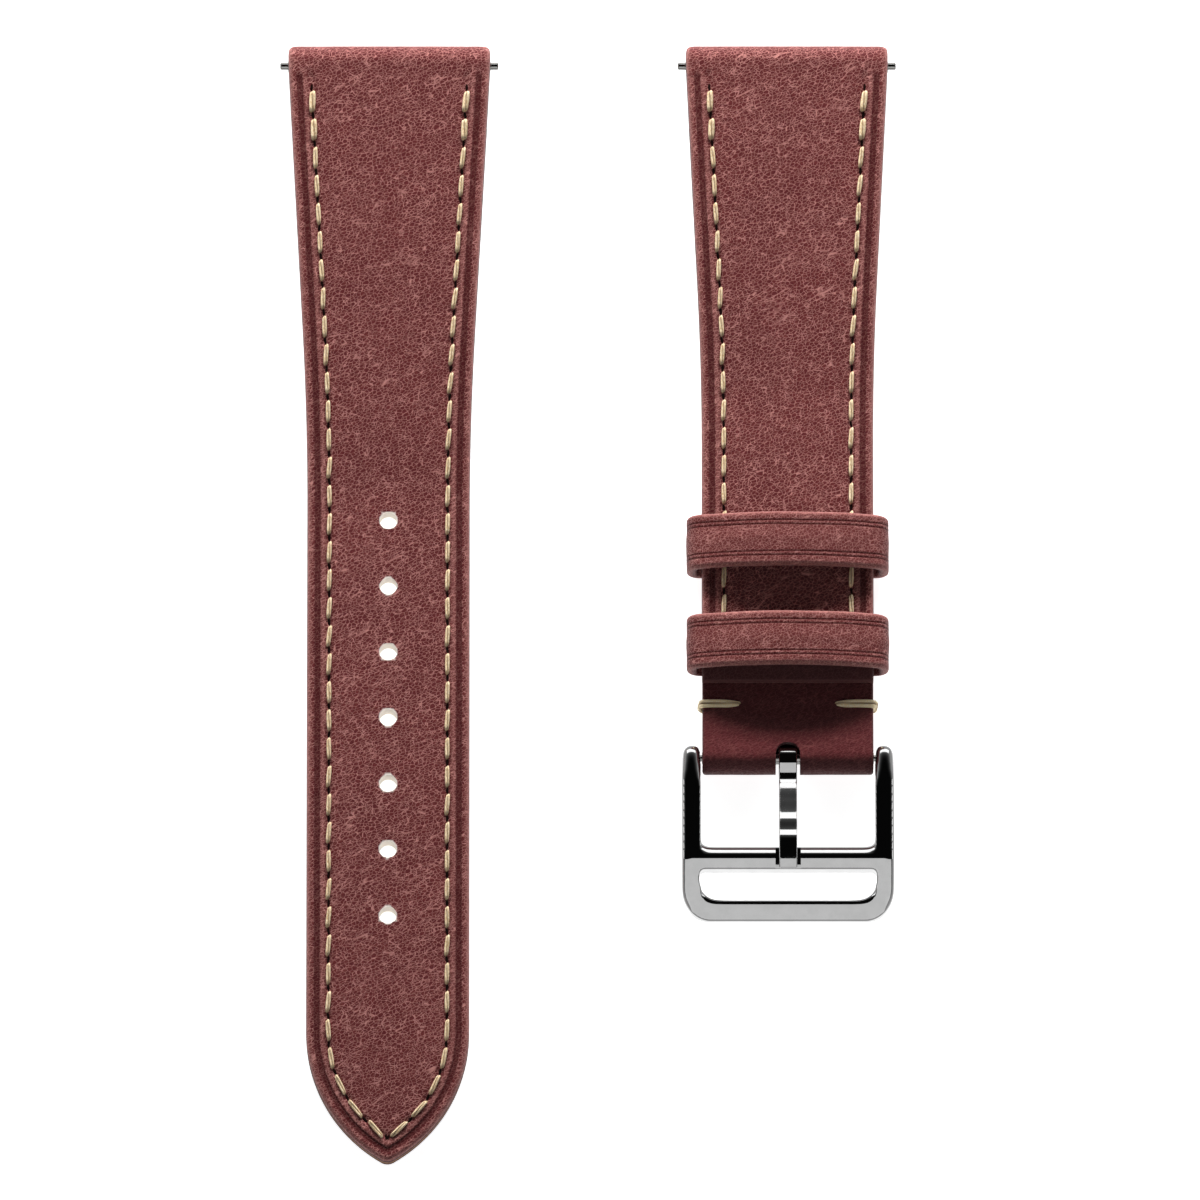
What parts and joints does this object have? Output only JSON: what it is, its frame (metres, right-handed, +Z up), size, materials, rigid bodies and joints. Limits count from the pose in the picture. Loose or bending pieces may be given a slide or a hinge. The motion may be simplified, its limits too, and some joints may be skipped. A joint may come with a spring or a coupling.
{
  "type": "leather watch strap",
  "caption": "Two-piece padded leather watch strap with stitched edges, punched tail half, pin buckle, leather keepers and sprung lug bars, laid out flat as a pair.",
  "frame": {"origin": "on the table, centred under the pair's bounding box", "axes": "+X across both halves from the punched half to the buckle half, +Y along the straps to the lug ends, +Z up off the table"},
  "size_m": [0.0612, 0.114, 0.0059],
  "materials": {
    "upper_leather": "semi-matte crinkled calf, dark reddish brown",
    "keeper_leather": "semi-matte crinkled calf with creased edges",
    "lining_leather": "smooth matte lining leather",
    "filler": "raw bonded leather board",
    "thread": "waxed twisted thread",
    "polished_steel": "mirror-polished stainless steel",
    "bar_steel": "turned stainless steel",
    "spring_steel": "drawn spring wire"
  },
  "bodies": {
    "tail_half": {"tail_upper": "upper_leather", "tail_lining": "lining_leather", "tail_filler": "filler", "tail_loop_liner": "filler", "tail_stitching": "thread", "tail_bar_tube": "bar_steel", "tail_bar_spring": "spring_steel"},
    "short_half": {"short_upper": "upper_leather", "short_lining": "lining_leather", "short_filler": "filler", "short_loop_liner": "filler", "short_stitching": "thread", "buckle_tab": "upper_leather", "tab_bar_tacks": "thread", "fixed_keeper": "keeper_leather", "short_bar_tube": "bar_steel", "short_bar_spring": "spring_steel", "buckle_bar_tube": "bar_steel", "buckle_bar_spring": "spring_steel"},
    "tail_bar_tip_right": {"tail_bar_tip_right": "bar_steel"},
    "tail_bar_tip_left": {"tail_bar_tip_left": "bar_steel"},
    "short_bar_tip_right": {"short_bar_tip_right": "bar_steel"},
    "short_bar_tip_left": {"short_bar_tip_left": "bar_steel"},
    "free_keeper": {"free_keeper": "keeper_leather"},
    "buckle_bar_tip_right": {"buckle_bar_tip_right": "bar_steel"},
    "buckle_bar_tip_left": {"buckle_bar_tip_left": "bar_steel"},
    "buckle_frame": {"buckle_frame": "polished_steel"},
    "buckle_tongue": {"buckle_tongue": "polished_steel"}
  },
  "joints": [
    {"name": "halves_apart", "type": "slide", "parent": "tail_half", "child": "short_half", "axis": [1, 0, 0], "range_m": [0, 0.05]},
    {"name": "tail_bar_tip_right_press", "type": "slide", "parent": "tail_half", "child": "tail_bar_tip_right", "axis": [-1, 0, 0], "range_m": [0, 0.00095], "stiffness_N_per_m": 800, "springref_m": -0.001, "deforming": ["tail_bar_spring"]},
    {"name": "tail_bar_tip_left_press", "type": "slide", "parent": "tail_half", "child": "tail_bar_tip_left", "axis": [1, 0, 0], "range_m": [0, 0.00095], "stiffness_N_per_m": 800, "springref_m": -0.001, "deforming": ["tail_bar_spring"]},
    {"name": "short_bar_tip_right_press", "type": "slide", "parent": "short_half", "child": "short_bar_tip_right", "axis": [-1, 0, 0], "range_m": [0, 0.00095], "stiffness_N_per_m": 800, "springref_m": -0.001, "deforming": ["short_bar_spring"]},
    {"name": "short_bar_tip_left_press", "type": "slide", "parent": "short_half", "child": "short_bar_tip_left", "axis": [1, 0, 0], "range_m": [0, 0.00095], "stiffness_N_per_m": 800, "springref_m": -0.001, "deforming": ["short_bar_spring"]},
    {"name": "buckle_bar_tip_right_press", "type": "slide", "parent": "short_half", "child": "buckle_bar_tip_right", "axis": [-1, 0, 0], "range_m": [0, 0.00115], "stiffness_N_per_m": 800, "springref_m": -0.001, "deforming": ["buckle_bar_spring"]},
    {"name": "buckle_bar_tip_left_press", "type": "slide", "parent": "short_half", "child": "buckle_bar_tip_left", "axis": [1, 0, 0], "range_m": [0, 0.00115], "stiffness_N_per_m": 800, "springref_m": -0.001, "deforming": ["buckle_bar_spring"]},
    {"name": "keeper_slide", "type": "slide", "parent": "short_half", "child": "free_keeper", "axis": [0, 0.9997, -0.0232], "range_m": [-0.0025, 0.014]},
    {"name": "buckle_swing", "type": "hinge", "parent": "short_half", "child": "buckle_frame", "pos_m": [0.01975, -0.01603, 0.00165], "axis": [-1, 0, 0], "range_deg": [-60, 60]},
    {"name": "tongue_lift", "type": "hinge", "parent": "buckle_frame", "child": "buckle_tongue", "pos_m": [0.01975, -0.01603, 0.00165], "axis": [-1, 0, 0], "range_deg": [0, 35]}
  ]
}
